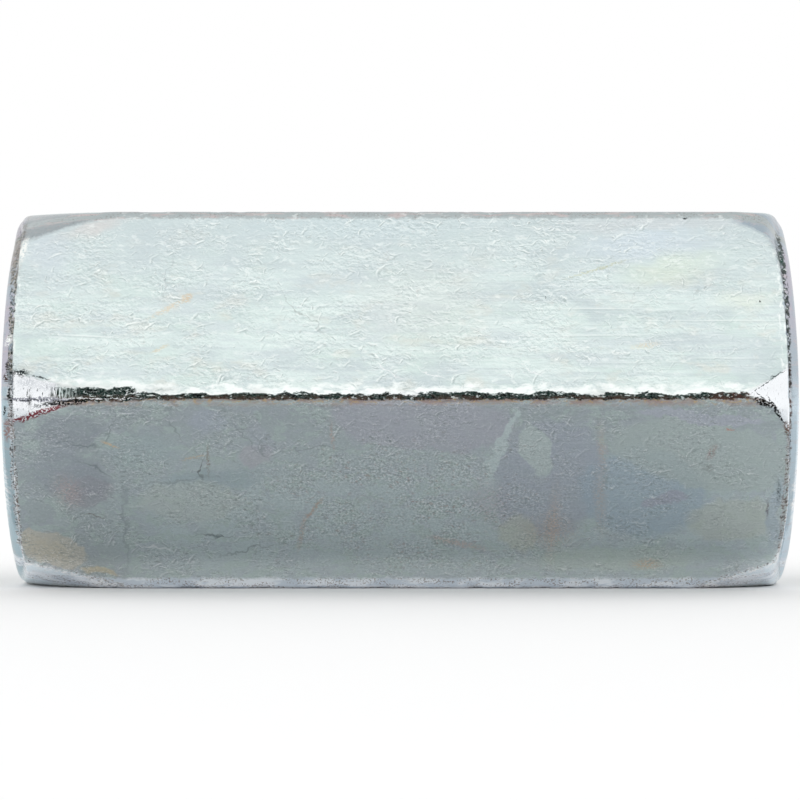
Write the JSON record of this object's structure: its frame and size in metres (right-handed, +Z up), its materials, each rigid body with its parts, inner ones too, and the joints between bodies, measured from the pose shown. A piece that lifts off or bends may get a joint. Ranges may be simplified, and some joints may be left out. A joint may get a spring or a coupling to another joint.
{
  "type": "coupling nut",
  "caption": "Long hexagon nut, zinc plated and worn, tapped right through to join two threaded rods end to end; washer-faced, chamfered ends.",
  "frame": {"origin": "middle of the thread axis, halfway between the two end faces", "axes": "+X along the thread axis, +Z up and square to the wrench flat that the nut lies under, +Y towards the long edge at the back"},
  "size_m": [0.0494, 0.0274, 0.024],
  "materials": {
    "zinc_plated_steel": "drawn hexagon steel, zinc plated and clear passivated, satin, scuffed, with dark worn edges"
  },
  "bodies": {
    "root": {"coupling_nut": "zinc_plated_steel"}
  },
  "joints": []
}
